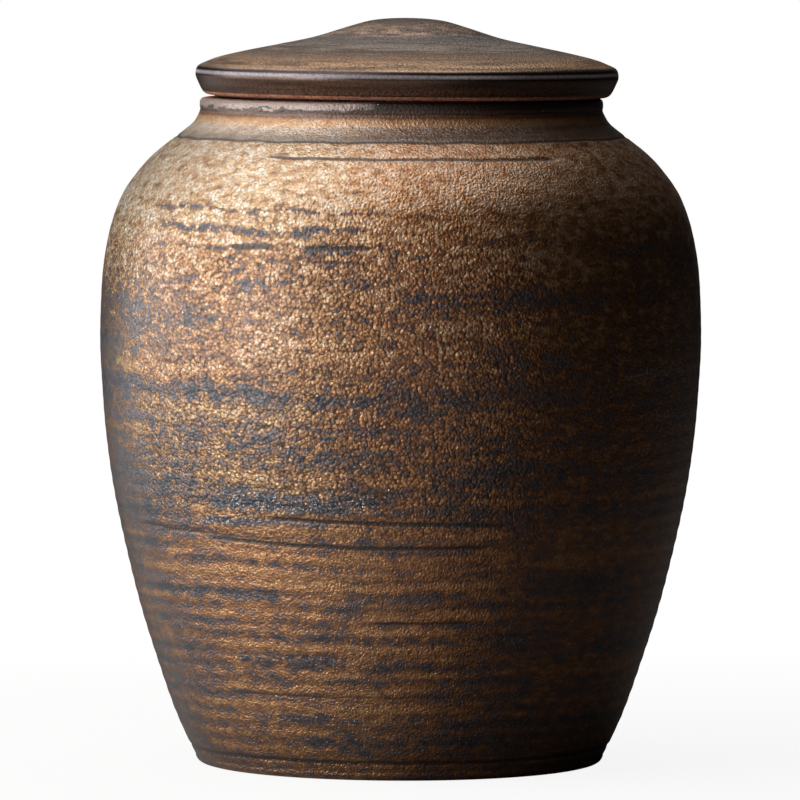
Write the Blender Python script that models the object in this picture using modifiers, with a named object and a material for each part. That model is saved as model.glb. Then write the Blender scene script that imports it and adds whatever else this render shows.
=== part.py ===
"""Stoneware tea caddy: a thrown jar, its domed lid and the soft ring that seals them.

Sizes are metres and +Z is up. The front faces -Y, and the origin is the centre of the
foot on the table. Every piece is turned, as it would be on the wheel: an outline in the
XZ plane, swept once round the piece's own upright axis.
"""

import math

import bpy

# Jar, outside
JAR_HEIGHT = 0.1606
BELLY_RADIUS = 0.0726
NECK_RADIUS = 0.0487
NECK_LENGTH = 0.0034
FOOT_RADIUS = 0.0494
FOOT_ROUNDING = 0.0020
BELLY_HEIGHT_SHARE = 0.63

# Jar, walls
WALL = 0.0052
FLOOR_THICKNESS = 0.0068
FLOOR_FILLET = 0.0070
RIM_ROUNDING = 0.0012
FOOT_RING_WIDTH = 0.0075
FOOT_RECESS_DEPTH = 0.0016

# Lines that the potter's tool cut round the jar
LINE_DEPTH = 0.0004
LINE_WIDTH = 0.0014
LINE_HEIGHT_SHARES = (0.026, 0.357, 0.917, 0.9435, 0.983)

# Lid
BRIM_OVERHANG = 0.0023
BRIM_HEIGHT = 0.0075
DOME_RISE = 0.0112
CROWN_THICKNESS = 0.0090
HOLLOW_SPRING = 0.0018
LID_GAP = 0.0005
PLUG_PLAY = 0.0027
PLUG_WALL = 0.0045
PLUG_DEPTH = 0.0100
PLUG_ROUNDING = 0.0014
LID_SLIDE_SHARE = 0.48

# Soft seal ring
SEAL_THICKNESS = 0.0019
SEAL_SETBACK = 0.0013
SEAL_GRIP = 0.0010
SEAL_BEAD = 0.0004
CLEARANCE = 0.0003

# How finely the round shapes are cut
TURN_STEPS = 64
ARC_STEPS = 3
MERGE_DISTANCE = 0.00001

# The jar's side from the foot up to the belly: height share, radius share
FLANK_SHARES = (
    (0.00, 0.000),
    (0.04, 0.088),
    (0.11, 0.219),
    (0.21, 0.369),
    (0.35, 0.560),
    (0.50, 0.723),
    (0.65, 0.858),
    (0.79, 0.941),
    (0.90, 0.978),
)

# The jar's side from the belly up to the neck: height share, radius share
SHOULDER_SHARES = (
    (0.00, 1.000),
    (0.18, 0.993),
    (0.34, 0.968),
    (0.48, 0.910),
    (0.58, 0.840),
    (0.67, 0.742),
    (0.78, 0.546),
    (0.835, 0.411),
    (0.885, 0.262),
    (0.945, 0.083),
    (0.965, 0.043),
    (1.00, 0.000),
)

# The lid's upper side from its middle outwards: radius share, rise share
DOME_SHARES = (
    (0.00, 1.000),
    (0.09, 0.985),
    (0.18, 0.933),
    (0.29, 0.790),
    (0.44, 0.577),
    (0.60, 0.420),
    (0.78, 0.252),
    (0.90, 0.117),
)

# The brim's rounded edge from its top to its bottom: lip share, height share
BRIM_SHARES = (
    (0.45, 1.00),
    (0.76, 0.93),
    (0.94, 0.83),
    (1.00, 0.70),
    (0.98, 0.57),
    (0.79, 0.37),
    (0.58, 0.18),
    (0.38, 0.06),
    (0.14, 0.00),
)

# The hollow under the dome from the plug inwards: radius share, rise share
HOLLOW_SHARES = (
    (1.00, 0.00),
    (0.97, 0.20),
    (0.88, 0.42),
    (0.68, 0.70),
    (0.36, 0.93),
    (0.00, 1.00),
)

# Sizes that follow from the ones above
BORE_RADIUS = NECK_RADIUS - WALL
PLUG_RADIUS = BORE_RADIUS - PLUG_PLAY
PLUG_BORE_RADIUS = PLUG_RADIUS - PLUG_WALL
GROOVE_RADIUS = PLUG_RADIUS - SEAL_GRIP
LID_RADIUS = NECK_RADIUS + BRIM_OVERHANG
LID_SHIFT = PLUG_PLAY * LID_SLIDE_SHARE
LID_BOTTOM = JAR_HEIGHT + LID_GAP
SEAL_RADIUS = NECK_RADIUS - SEAL_SETBACK
SEAL_BOTTOM = JAR_HEIGHT + CLEARANCE


def read_curve(table, at):
    """Read a smooth curve through rising (place, value) pairs at one place."""

    def slope(index):
        before = table[max(index - 1, 0)]
        after = table[min(index + 1, len(table) - 1)]
        return (after[1] - before[1]) / (after[0] - before[0])

    span = 0
    while span < len(table) - 2 and at > table[span + 1][0]:
        span += 1
    low_place, low_value = table[span]
    high_place, high_value = table[span + 1]
    length = high_place - low_place
    t = (at - low_place) / length
    from_low = (2 * t**3 - 3 * t**2 + 1) * low_value + (t**3 - 2 * t**2 + t) * length * slope(span)
    from_high = (3 * t**2 - 2 * t**3) * high_value + (t**3 - t**2) * length * slope(span + 1)
    return from_low + from_high


def arc(centre, radius, start_degrees, end_degrees):
    """Give the points of an arc in an outline's plane, as (radius, height) pairs."""
    points = []
    for step in range(ARC_STEPS + 1):
        turn = math.radians(start_degrees + (end_degrees - start_degrees) * step / ARC_STEPS)
        points.append((centre[0] + radius * math.cos(turn), centre[1] + radius * math.sin(turn)))
    return points


def jar_curve():
    """Give the jar's outer side as rising (height, radius) pairs, from the foot to the neck."""
    belly_height = JAR_HEIGHT * BELLY_HEIGHT_SHARE
    flank_height = belly_height - FOOT_ROUNDING
    shoulder_height = JAR_HEIGHT - NECK_LENGTH - belly_height
    table = []
    for up, out in FLANK_SHARES:
        table.append((FOOT_ROUNDING + flank_height * up, FOOT_RADIUS + (BELLY_RADIUS - FOOT_RADIUS) * out))
    for up, out in SHOULDER_SHARES:
        table.append((belly_height + shoulder_height * up, NECK_RADIUS + (BELLY_RADIUS - NECK_RADIUS) * out))
    return table


def jar_outside():
    """Give the jar's outer side from the neck down to the foot, with the tool's lines cut in."""
    table = jar_curve()
    neck_root = table[-1][0]
    lines = [JAR_HEIGHT * share for share in LINE_HEIGHT_SHARES]
    points = []
    for height, radius in table:
        if min(abs(height - line) for line in lines) > LINE_WIDTH:
            points.append((radius, height))
    for line in lines:
        for height, cut in ((line - LINE_WIDTH / 2, 0), (line, LINE_DEPTH), (line + LINE_WIDTH / 2, 0)):
            points.append((read_curve(table, min(height, neck_root)) - cut, height))
    return sorted(points, key=lambda point: point[1], reverse=True)


def wall_point(table, height):
    """Give the point one wall in from the jar's outer side at one height, square to that side."""
    step = LINE_WIDTH / 2
    rise = step * 2
    spread = read_curve(table, height + step) - read_curve(table, height - step)
    slant = math.hypot(rise, spread)
    return (read_curve(table, height) - WALL * rise / slant, height + WALL * spread / slant)


def jar_inside():
    """Give the jar's inner side from the middle of its floor up to the root of its neck."""
    table = jar_curve()
    neck_root = table[-1][0]
    floor_top = FOOT_RECESS_DEPTH + FLOOR_THICKNESS
    fillet_top = floor_top + FLOOR_FILLET
    wall = []
    for height, _ in table[1:-1]:
        point = wall_point(table, height)
        if point[1] > fillet_top + FLOOR_FILLET / 2 and point[0] > BORE_RADIUS:
            wall.append(point)
    fillet_centre = (wall_point(table, fillet_top)[0] - FLOOR_FILLET, fillet_top)
    fillet = arc(fillet_centre, FLOOR_FILLET, -90, 0)
    return [(0, floor_top)] + fillet + wall + [(BORE_RADIUS, neck_root)]


def jar_outline():
    """Give the jar's outline from the middle of its floor, over the rim, to the middle of its base."""
    rim_centre = JAR_HEIGHT - RIM_ROUNDING
    inner_rim = arc((BORE_RADIUS + RIM_ROUNDING, rim_centre), RIM_ROUNDING, 180, 90)
    outer_rim = arc((NECK_RADIUS - RIM_ROUNDING, rim_centre), RIM_ROUNDING, 90, 0)
    flat_radius = FOOT_RADIUS - FOOT_ROUNDING
    foot = arc((flat_radius, FOOT_ROUNDING), FOOT_ROUNDING, 0, -90)[1:]
    recess_radius = flat_radius - FOOT_RING_WIDTH
    recess = [
        (recess_radius, 0),
        (recess_radius - FOOT_RECESS_DEPTH, FOOT_RECESS_DEPTH),
        (0, FOOT_RECESS_DEPTH),
    ]
    return jar_inside() + inner_rim + outer_rim + jar_outside() + foot + recess


def lid_outline():
    """Give the lid's outline from the top of its crown to the middle of the hollow under it.

    Heights count from the brim's lowest edge.
    """
    dome = [(LID_RADIUS * out, BRIM_HEIGHT + DOME_RISE * up) for out, up in DOME_SHARES]
    recess_radius = SEAL_RADIUS + CLEARANCE
    recess_height = SEAL_BOTTOM + SEAL_THICKNESS + CLEARANCE - LID_BOTTOM
    lip = LID_RADIUS - recess_radius
    brim = [(recess_radius + lip * out, BRIM_HEIGHT * up) for out, up in BRIM_SHARES]
    groove_bottom = SEAL_BOTTOM - CLEARANCE - LID_BOTTOM
    underside = [
        (recess_radius, 0),
        (recess_radius, recess_height),
        (GROOVE_RADIUS, recess_height),
        (GROOVE_RADIUS, groove_bottom),
        (PLUG_RADIUS, groove_bottom - SEAL_GRIP),
    ]
    tip_centre = PLUG_ROUNDING - PLUG_DEPTH
    outer_tip = arc((PLUG_RADIUS - PLUG_ROUNDING, tip_centre), PLUG_ROUNDING, 0, -90)
    inner_tip = arc((PLUG_BORE_RADIUS + PLUG_ROUNDING, tip_centre), PLUG_ROUNDING, -90, -180)
    hollow_rise = BRIM_HEIGHT + DOME_RISE - CROWN_THICKNESS - HOLLOW_SPRING
    hollow = [(PLUG_BORE_RADIUS * out, HOLLOW_SPRING + hollow_rise * up) for out, up in HOLLOW_SHARES]
    return dome + brim + underside + outer_tip + inner_tip + hollow


def seal_outline():
    """Give the seal ring's closed outline, with the bead that presses on the jar's rim.

    Heights count from the bead's lowest line.
    """
    inner_radius = GROOVE_RADIUS + CLEARANCE
    face_radius = NECK_RADIUS - WALL / 2
    bead = [(face_radius + SEAL_BEAD, SEAL_BEAD), (face_radius, 0), (face_radius - SEAL_BEAD, SEAL_BEAD)]
    outer_lip = arc((SEAL_RADIUS - SEAL_BEAD, SEAL_BEAD * 2), SEAL_BEAD, 0, -90)
    top = [(inner_radius, SEAL_THICKNESS), (SEAL_RADIUS, SEAL_THICKNESS)]
    return top + outer_lip + bead + [(inner_radius, SEAL_BEAD), (inner_radius, SEAL_THICKNESS)]


def turned(name, outline, parent, height, material, collection):
    """Make a turned piece from an outline that runs down its outer side."""
    mesh = bpy.data.meshes.new(name)
    edges = [(index, index + 1) for index in range(len(outline) - 1)]
    mesh.from_pydata([(radius, 0, up) for radius, up in outline], edges, [])
    mesh.materials.append(material)
    piece = bpy.data.objects.new(name, mesh)
    piece.parent = parent
    piece.location.z = height
    collection.objects.link(piece)
    screw = piece.modifiers.new("turn", "SCREW")
    screw.axis = "Z"
    screw.steps = TURN_STEPS
    screw.render_steps = TURN_STEPS
    screw.use_merge_vertices = True
    screw.merge_threshold = MERGE_DISTANCE
    screw.use_smooth_shade = True
    return piece


def finish(name, colour, roughness, metallic):
    """Make a plain finish with one colour."""
    material = bpy.data.materials.new(name)
    material.use_nodes = True
    shader = material.node_tree.nodes["Principled BSDF"]
    shader.inputs["Base Color"].default_value = (*colour, 1)
    shader.inputs["Roughness"].default_value = roughness
    shader.inputs["Metallic"].default_value = metallic
    material.diffuse_color = (*colour, 1)
    return material


def clear_scene():
    """Remove every object that the scene starts with."""
    for thing in list(bpy.data.objects):
        bpy.data.objects.remove(thing, do_unlink=True)


def build():
    """Build the caddy, closed, with its lid slid over as far as it sits on the real one."""
    clear_scene()
    parts = bpy.data.collections.new("ceramic_tea_caddy")
    bpy.context.scene.collection.children.link(parts)

    lid_axis = bpy.data.objects.new("lid_axis", None)
    lid_axis.location = (LID_SHIFT, 0, JAR_HEIGHT)
    parts.objects.link(lid_axis)

    bronze_glaze = finish("bronze_glaze", (0.20, 0.13, 0.075), 0.42, 0.35)
    brown_glaze = finish("brown_glaze", (0.085, 0.060, 0.050), 0.38, 0.10)
    silicone = finish("silicone", (0.035, 0.030, 0.028), 0.55, 0)

    turned("jar_body", jar_outline(), None, 0, bronze_glaze, parts)
    turned("lid", lid_outline(), lid_axis, LID_GAP, brown_glaze, parts)
    turned("lid_seal_ring", seal_outline(), lid_axis, CLEARANCE, silicone, parts)


build()
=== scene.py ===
"""Dress the stoneware tea caddy: a thrown jar, its domed lid, its soft seal ring and a studio.

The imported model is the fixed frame. Each piece is turned anew, as on the wheel, with far
more rows than the model has, and takes its node's place. Lengths are metres, +Z is up and
the front faces -Y. Angles round the jar are degrees from the front, positive to the
viewer's right. Marks in the glaze are placed in millimetres and degrees.
"""

import logging
import math
from dataclasses import dataclass
from enum import Enum
from functools import partial
from typing import ClassVar

import bpy
import numpy as np
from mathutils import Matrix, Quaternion
from mathutils import Vector
from mathutils.kdtree import KDTree


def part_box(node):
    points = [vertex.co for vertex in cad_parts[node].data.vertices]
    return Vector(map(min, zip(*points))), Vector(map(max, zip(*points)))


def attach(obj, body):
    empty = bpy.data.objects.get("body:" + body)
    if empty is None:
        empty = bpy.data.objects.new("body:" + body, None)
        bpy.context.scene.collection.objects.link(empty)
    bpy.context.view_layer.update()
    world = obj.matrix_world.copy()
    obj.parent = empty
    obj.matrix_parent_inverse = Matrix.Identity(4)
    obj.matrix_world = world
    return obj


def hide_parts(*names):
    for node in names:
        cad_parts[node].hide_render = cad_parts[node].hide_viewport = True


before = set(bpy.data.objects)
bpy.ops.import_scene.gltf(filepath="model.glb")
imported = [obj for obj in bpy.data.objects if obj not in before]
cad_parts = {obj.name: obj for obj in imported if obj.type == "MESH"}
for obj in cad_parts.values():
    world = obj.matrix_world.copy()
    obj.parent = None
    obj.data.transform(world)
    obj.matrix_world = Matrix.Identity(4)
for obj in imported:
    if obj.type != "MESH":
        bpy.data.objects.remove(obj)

MILLIMETRE = 0.001
FULL_TURN = 360.0
MERGE_DISTANCE = 0.01 * MILLIMETRE
ROW_LABEL = "row"
SHARP_ANGLE = math.radians(40)
ARC_POINTS = 13
CURVE_STEPS = 241
WAVE_STRENGTHS = (0.4, 1.0)
WHITE = "ffffff"
BLACK = "000000"
FINE_NOISE = (1.0, 0.5, 0.3)
SOFT_NOISE = (3.0, 0.5, 0.0)
ROUGH_NOISE = (3.0, 0.6, 0.3)

Point = tuple[float, float]
Table = tuple[Point, ...] | list[Point]
Colour = tuple[float, float, float, float]
Stops = tuple[tuple[float, str], ...]
Window = tuple[float, float, float, float]
Patches = tuple[int, float, int]
Socket = bpy.types.NodeSocket

log = logging.getLogger("tea_caddy")


class Kind(Enum):
    """The kinds of node in the finishes: type, inputs in the order fed, output read and settings.

    Where no inputs are named they are fed in the node's own order, and where no output is
    named its first one is read.
    """

    PLACE = ("ShaderNodeTexCoord", (), "Object", {})
    AXES = ("ShaderNodeSeparateXYZ", (), "Z", {})
    MARK = ("ShaderNodeAttribute", (), "Fac", {})
    NOISE = ("ShaderNodeTexNoise", ("Vector", "Scale", "Detail", "Roughness", "Distortion"), "", {})
    CELLS = ("ShaderNodeTexVoronoi", ("Vector", "Scale"), "Distance", {})
    STRETCH = ("ShaderNodeMapping", ("Vector", "Scale", "Location"), "", {})
    LENGTH = ("ShaderNodeVectorMath", (), "Value", {"operation": "LENGTH"})
    REACH = ("ShaderNodeVectorMath", (), "Value", {"operation": "DOT_PRODUCT"})
    SUM = ("ShaderNodeMath", (), "", {"operation": "ADD"})
    MINUS = ("ShaderNodeMath", (), "", {"operation": "SUBTRACT"})
    TIMES = ("ShaderNodeMath", (), "", {"operation": "MULTIPLY"})
    TIMES_PLUS = ("ShaderNodeMath", (), "", {"operation": "MULTIPLY_ADD"})
    LARGER = ("ShaderNodeMath", (), "", {"operation": "MAXIMUM"})
    SOFT_LARGER = ("ShaderNodeMath", (), "", {"operation": "SMOOTH_MAX"})
    ABOVE = ("ShaderNodeMath", (), "", {"operation": "GREATER_THAN"})
    SPREAD = ("ShaderNodeMapRange", (), "", {})
    EASED = ("ShaderNodeMapRange", (), "", {"interpolation_type": "SMOOTHSTEP"})
    RAMP = ("ShaderNodeValToRGB", (), "", {})
    BLEND = ("ShaderNodeMix", ("Factor_Float", "A_Color", "B_Color"), "Result_Color", {"data_type": "RGBA"})
    TINT = (
        "ShaderNodeMix", ("Factor_Float", "A_Color", "B_Color"), "Result_Color",
        {"data_type": "RGBA", "blend_type": "MULTIPLY"},
    )
    BUMP = ("ShaderNodeBump", ("Height", "Distance", "Strength"), "", {})
    RAY = ("ShaderNodeLightPath", (), "Is Camera Ray", {})
    SURFACE = ("ShaderNodeNewGeometry", (), "Backfacing", {})
    GLOW = ("ShaderNodeEmission", (), "", {})
    MATT = ("ShaderNodeBsdfDiffuse", (), "", {})
    CLEAR = ("ShaderNodeBsdfTransparent", (), "", {})
    JOIN = ("ShaderNodeAddShader", (), "", {})
    CHOICE = ("ShaderNodeMixShader", (), "", {})


def linear_colour(code: str) -> Colour:
    """Turn an sRGB hex colour into the linear colour that a shader reads.

    Args:
        code: Six hex digits, such as "c9975c".

    Returns:
        Linear red, green and blue, with an alpha of 1.
    """
    channels = []
    for start in (0, 2, 4):
        value = int(code[start:start + 2], 16) / 255
        channels.append(value / 12.92 if value <= 0.04045 else ((value + 0.055) / 1.055) ** 2.4)
    return (channels[0], channels[1], channels[2], 1.0)


def per_metre(millimetres: float) -> float:
    """Give the noise scale whose cells are this many millimetres across."""
    return 1 / (millimetres * MILLIMETRE)


def feed_socket(tree: bpy.types.NodeTree, socket: Socket, feed: object) -> None:
    """Give an input what it gets.

    Args:
        tree: The node tree.
        socket: The input.
        feed: Another node's output, a value or a hex colour.
    """
    if isinstance(feed, Socket):
        tree.links.new(feed, socket)
    else:
        socket.default_value = linear_colour(feed) if isinstance(feed, str) else feed


def add_node(
    tree: bpy.types.NodeTree,
    kind: Kind,
    *feeds: object,
    output: str = "",
    stops: Stops = (),
    **settings: object,
) -> Socket:
    """Add one node with its settings and links.

    Args:
        tree: The node tree that takes it.
        kind: The kind of node.
        feeds: What the inputs get, in their order.
        output: The identifier of the output that is wanted, or nothing for the kind's own.
        stops: A ramp's stops, as rising (place, hex colour) pairs.
        settings: The node's own settings, besides the kind's.

    Returns:
        The wanted output.
    """
    node_type, inputs, kind_output, kind_settings = kind.value
    node = tree.nodes.new(node_type)
    for name, value in {**kind_settings, **settings}.items():
        setattr(node, name, value)
    named = {socket.identifier: socket for socket in node.inputs}
    for socket, feed in zip([named[name] for name in inputs] or node.inputs, feeds):
        feed_socket(tree, socket, feed)
    for place, code in stops:
        elements = node.color_ramp.elements
        ends = {stops[0][0]: elements[0], stops[-1][0]: elements[-1]}
        stop = ends[place] if place in ends else elements.new(place)
        stop.position = place
        stop.color = linear_colour(code)
    outputs = {socket.identifier: socket for socket in node.outputs}
    wanted = output or kind_output
    return outputs[wanted] if wanted else node.outputs[0]


@dataclass(frozen=True)
class Finish:
    """A finish with one Principled shader. Grain, patch, relief and the like are millimetres."""

    title: ClassVar[str] = "finish"

    def nodes(self, add: partial, place: Socket) -> dict:
        """Add the finish's nodes and say what each input of the shader gets, by its name."""
        raise NotImplementedError

    def material(self) -> bpy.types.Material:
        """Make the material.

        Returns:
            The material, named after the real one.
        """
        material = bpy.data.materials.new(self.title)
        material.use_nodes = True
        tree = material.node_tree
        add = partial(add_node, tree)
        shader = tree.nodes["Principled BSDF"]
        for name, feed in self.nodes(add, add(Kind.PLACE)).items():
            feed_socket(tree, shader.inputs[name], feed)
        return material


@dataclass(frozen=True)
class BronzeGlaze(Finish):
    """Metallic bronze crystal glaze, fired on stoneware.

    Gold-brown crystals lie on a dark brown ground, with slate blue where the glaze ran
    thin over the throwing rings. The eye sees a fine glitter that is pale in the light and
    orange brown away from it. Heights and waves are metres. A window gives two heights and
    the values there, a spread two values and what they turn into, and a gain what a pattern
    is multiplied by and what is added.
    """

    title: ClassVar[str] = "metallic_bronze_crystal_glaze"
    grain: float = 0.55
    bead: float = 0.8
    spark: float = 0.45
    cluster_width: float = 3.2
    cluster_height: float = 1.7
    patch: float = 7.0
    streak_length: float = 18.0
    streak_height: float = 1.6
    relief: float = 0.36
    streaks_window: Window = (0.130, 0.075, 0.3, 1.0)
    patches_window: Window = (0.125, 0.138, 0.30, 0.12)
    sand_window: Window = (0.078, 0.058, 0.6, 1.5)
    thickest_window: Window = (0.090, 0.120, 0.52, 0.22)
    beads_window: Window = (0.054, 0.068, 0.25, 1.0)
    quiet_window: Window = (0.124, 0.142, 1.0, 0.35)
    neck_heights: Point = (0.150, 0.161)
    rim_heights: Point = (0.1606, 0.1609)
    neck_wave: float = 0.0005
    rim_wave: float = 0.004
    patch_gain: Point = (1.6, -0.8)
    cluster_gain: Point = (1.8, -0.21)
    appetite_gain: Point = (0.55, -0.475)
    bead_gain: Point = (-0.36, 0.18)
    frost_glints_gain: Point = (-0.45, 0.985)
    slate_gain: float = 0.25
    softest: float = 0.35
    thinning: float = 0.25
    gap_width: float = 0.8
    gap_grit: float = 0.5
    bead_depth: float = -0.7
    cluster_relief: float = 0.6
    grain_relief: float = 0.8
    worn_gloss: float = -0.06
    whole_spread: Window = (0, 1, 1.0, 0.3)
    crisp_spread: Window = (0, 1, 1.0, 0.6)
    line_spread: Window = (0.25, 0.65, 0, 0.85)
    bare_spread: Window = (0, 1, 1.0, 0.45)
    metal_spread: Window = (0.45, 0.9, 0.9, 0.6)
    roughness_spread: Window = (0, 1, 0.44, 0.36)
    sparkle_spread: Window = (0.55, 0.15, 0, 0.7)
    rust: str = "ffe2d0"
    # Painted shade: the collar is darkened with this colour on the right side.
    collar_painted_shade: str = "b8aba2"
    pale_rim: str = "96837a"
    cut_line: str = "1f1716"
    sparkle: str = "c9cdd2"
    body_stops: Stops = (
        (0.00, "f2dfc8"), (0.16, "e0be96"), (0.34, "c79c6f"), (0.47, "ae8058"),
        (0.58, "8e6f5c"), (0.70, "827575"), (0.86, "706d74"), (1.00, "50535c"),
    )
    grain_stops: Stops = ((0.28, "8f8f8f"), (0.40, "c0c0c0"), (0.66, WHITE))
    gap_stops: Stops = ((0.50, WHITE), (0.72, "dddad6"), (0.95, "948e88"))
    band_stops: Stops = (
        (0.08, "6f625b"), (0.13, "5e5049"), (0.18, "6a5c53"), (0.235, "84766a"), (0.30, "a89a8e"),
        (0.37, "bdb0a8"), (0.43, "c2a284"), (0.50, "c08a58"), (0.57, "a47248"), (0.63, "53341f"),
        (0.68, "70482c"), (0.74, "4c2e20"), (0.80, "1a0e0b"), (1.00, "180d0b"),
    )
    cover_stops: Stops = (
        (0.08, BLACK), (0.14, "e6e6e6"), (0.22, "dcdcdc"), (0.30, "b4b4b4"), (0.44, "b4b4b4"),
        (0.56, "dcdcdc"), (0.62, "f4f4f4"), (1.00, WHITE),
    )
    collar_stops: Stops = ((0.14, BLACK), (0.22, WHITE), (0.40, WHITE), (0.48, BLACK), (1.00, BLACK))

    def nodes(self, add: partial, place: Socket) -> dict:
        """Add the glaze's nodes, which read seven marks on the jar, and say what the shader gets.

        Args:
            add: The function that adds a node.
            place: The place on the jar.

        Returns:
            What each input of the shader gets.
        """
        names = ("slate", "run", "line", "frost", "rust", "worn", "lilac")
        marks = {name: add(Kind.MARK, attribute_name=name) for name in names}
        height = add(Kind.AXES, place)

        # Where the glaze is thick it is gold, and it thins in clusters, patches and streaks to slate
        wide = per_metre(self.cluster_width)
        flattened = add(Kind.STRETCH, place, (wide, wide, per_metre(self.cluster_height)))
        cluster = add(Kind.NOISE, flattened, 1.0, *ROUGH_NOISE)
        patch = add(Kind.NOISE, place, per_metre(self.patch), *SOFT_NOISE)
        patch_part = add(Kind.TIMES_PLUS, patch, *self.patch_gain)
        along = per_metre(self.streak_length)
        stretched = add(Kind.STRETCH, place, (along, along, per_metre(self.streak_height)))
        streak = add(Kind.MINUS, add(Kind.NOISE, stretched, 1.0, *SOFT_NOISE), 0.5)
        clusters = add(Kind.TIMES_PLUS, cluster, *self.cluster_gain)
        calm = add(Kind.SPREAD, height, *self.patches_window)
        blotches = add(Kind.TIMES_PLUS, patch_part, calm, clusters)
        low = add(Kind.SPREAD, height, *self.streaks_window)
        mottled = add(Kind.TIMES_PLUS, streak, low, blotches)
        grain = add(Kind.NOISE, place, per_metre(self.grain), *FINE_NOISE)
        sandy = add(Kind.SPREAD, height, *self.sand_window)
        sanded = add(Kind.TIMES_PLUS, add(Kind.MINUS, grain, 0.5), sandy, mottled)

        # Each crystal bead takes its own share of the slate, so that the marks are ragged
        cells = (place, per_metre(self.bead))
        middle = add(Kind.CELLS, *cells)
        own = add(Kind.CELLS, *cells, output="Color")
        hungry = add(Kind.TIMES_PLUS, add(Kind.AXES, own, output="Y"), *self.appetite_gain)
        uneven = add(Kind.SUM, cluster, hungry)
        plain_level = add(Kind.TIMES_PLUS, marks["slate"], self.slate_gain, sanded)
        level = add(Kind.TIMES_PLUS, marks["run"], uneven, plain_level)
        thickest = add(Kind.SPREAD, height, *self.thickest_window)
        held = add(Kind.SOFT_LARGER, level, thickest, self.softest)
        thickness = add(Kind.MINUS, held, self.thinning)

        # The crystals stand as beads on the upper half and as fine sand on the lower one
        gap = add(Kind.TIMES_PLUS, middle, self.gap_width, add(Kind.TIMES, grain, self.gap_grit))
        beaded = add(Kind.SPREAD, height, *self.beads_window)
        quiet = add(Kind.SPREAD, height, *self.quiet_window)
        whole = add(Kind.SPREAD, marks["worn"], *self.whole_spread)
        bead_share = add(Kind.TIMES, beaded, add(Kind.TIMES, quiet, whole))
        unlike = add(Kind.TIMES_PLUS, add(Kind.AXES, own, output="X"), *self.bead_gain)
        tone = add(Kind.TIMES_PLUS, unlike, bead_share, thickness)
        body = add(Kind.RAMP, tone, stops=self.body_stops)
        grained = add(Kind.TINT, 1.0, body, add(Kind.RAMP, grain, stops=self.grain_stops))
        beads = add(Kind.TINT, bead_share, grained, add(Kind.RAMP, gap, stops=self.gap_stops))
        # Painted shade in part: on the right side this tint makes the glaze redder and darker away from the
        # light; low down and in the middle it is the glaze's own rust.
        rusted_and_shaded = add(Kind.TINT, marks["rust"], beads, self.rust)
        wavy = add(Kind.TIMES_PLUS, patch_part, self.neck_wave, height)
        banded, neck_share = self.band_neck(add, wavy, cluster, marks, rusted_and_shaded)
        sparkling = self.scatter_sparkles(add, place, marks["frost"], banded)
        line_share = add(Kind.EASED, marks["line"], *self.line_spread)

        # Crystals are metal, and the slate, the bands and the lines are partly glass
        bare = add(Kind.SPREAD, add(Kind.LARGER, neck_share, line_share), *self.bare_spread)
        crystals = add(Kind.SPREAD, tone, *self.metal_spread)
        base_roughness = add(Kind.SPREAD, tone, *self.roughness_spread)
        sand = add(Kind.TIMES, grain, self.grain_relief)
        rolling = add(Kind.TIMES_PLUS, cluster, self.cluster_relief, sand)
        depth = add(Kind.TIMES, bead_share, self.bead_depth)
        relief = add(Kind.TIMES_PLUS, add(Kind.TIMES, middle, middle), depth, rolling)
        crisp = add(Kind.SPREAD, marks["worn"], *self.crisp_spread)
        return {
            "Base Color": add(Kind.BLEND, line_share, sparkling, self.cut_line),
            "Metallic": add(Kind.TIMES, crystals, bare),
            "Roughness": add(Kind.TIMES_PLUS, marks["worn"], self.worn_gloss, base_roughness),
            "Coat Weight": 0.5,
            "Coat Roughness": 0.35,
            "Normal": add(Kind.BUMP, relief, self.relief * MILLIMETRE, crisp),
        }

    def scatter_sparkles(self, add: partial, place: Socket, frost: Socket, body: Socket) -> Socket:
        """Scatter small pale crystals, most of them where the frost marks are; the specks are partly painted
        glints, standing in for light caught by crystals.

        Args:
            add: The function that adds a node.
            place: The place on the jar.
            frost: The frost marks, whose pale specks are partly painted glints.
            body: The glaze's colour so far.

        Returns:
            The colour with the crystals.
        """
        cells = (place, per_metre(self.spark))
        chance = add(Kind.AXES, add(Kind.CELLS, *cells, output="Color"))
        dot = add(Kind.SPREAD, add(Kind.CELLS, *cells), *self.sparkle_spread)
        picked = add(Kind.ABOVE, chance, add(Kind.TIMES_PLUS, frost, *self.frost_glints_gain))
        # Painted highlight in part: the pale specks stand in for glints on crystals that catch the light.
        return add(Kind.BLEND, add(Kind.TIMES, dot, picked), body, self.sparkle)

    def band_neck(
        self, add: partial, wavy: Socket, cluster: Socket, marks: dict, body: Socket,
    ) -> tuple[Socket, Socket]:
        """Band the collar and the rim, where the glaze drew away from the edge.

        Args:
            add: The function that adds a node.
            wavy: The height, in metres, with a wave in it.
            cluster: The clusters.
            marks: The marks on the jar, by name.
            body: The glaze's colour so far.

        Returns:
            The colour with the bands, and how much of each place they cover.
        """
        up = add(Kind.SPREAD, wavy, *self.neck_heights)
        cover = add(Kind.RAMP, up, stops=self.cover_stops)
        banded = add(Kind.BLEND, cover, body, add(Kind.RAMP, up, stops=self.band_stops))
        # Painted shade: the collar's bands are darkened on the right side, away from the light.
        away = add(Kind.TIMES, add(Kind.RAMP, up, stops=self.collar_stops), marks["rust"])
        shaded_collar = add(Kind.TINT, away, banded, self.collar_painted_shade)
        torn = add(Kind.TIMES_PLUS, cluster, self.rim_wave, wavy)
        # The pale rim band is partly painted highlight, on the lit left side.
        pale = add(Kind.TIMES, add(Kind.SPREAD, torn, *self.rim_heights), marks["lilac"])
        return add(Kind.BLEND, pale, shaded_collar, self.pale_rim), cover


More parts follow.
